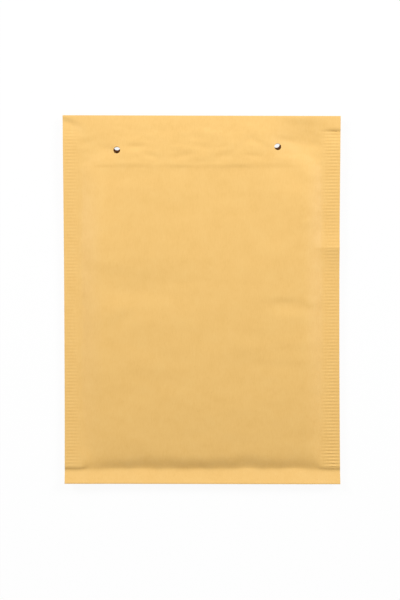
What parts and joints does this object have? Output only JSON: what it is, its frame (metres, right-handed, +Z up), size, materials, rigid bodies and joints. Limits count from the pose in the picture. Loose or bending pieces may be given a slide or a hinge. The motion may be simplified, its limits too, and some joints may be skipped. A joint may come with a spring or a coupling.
{
  "type": "bubble mailer",
  "caption": "Flat padded kraft envelope: pillow-shaped pocket with crimped side seams, a plain hem at the foot and a flap folded over the back.",
  "frame": {"origin": "middle of the mailer in plan, on the surface it lies on", "axes": "+X to the right seam and +Y to the flap's fold, seen from the front; +Z up, out of the front face"},
  "size_m": [0.17, 0.2256, 0.007],
  "materials": {
    "kraft": "uncoated golden-yellow kraft paper, matte, smooth"
  },
  "bodies": {
    "root": {"mailer": "kraft"}
  },
  "joints": []
}
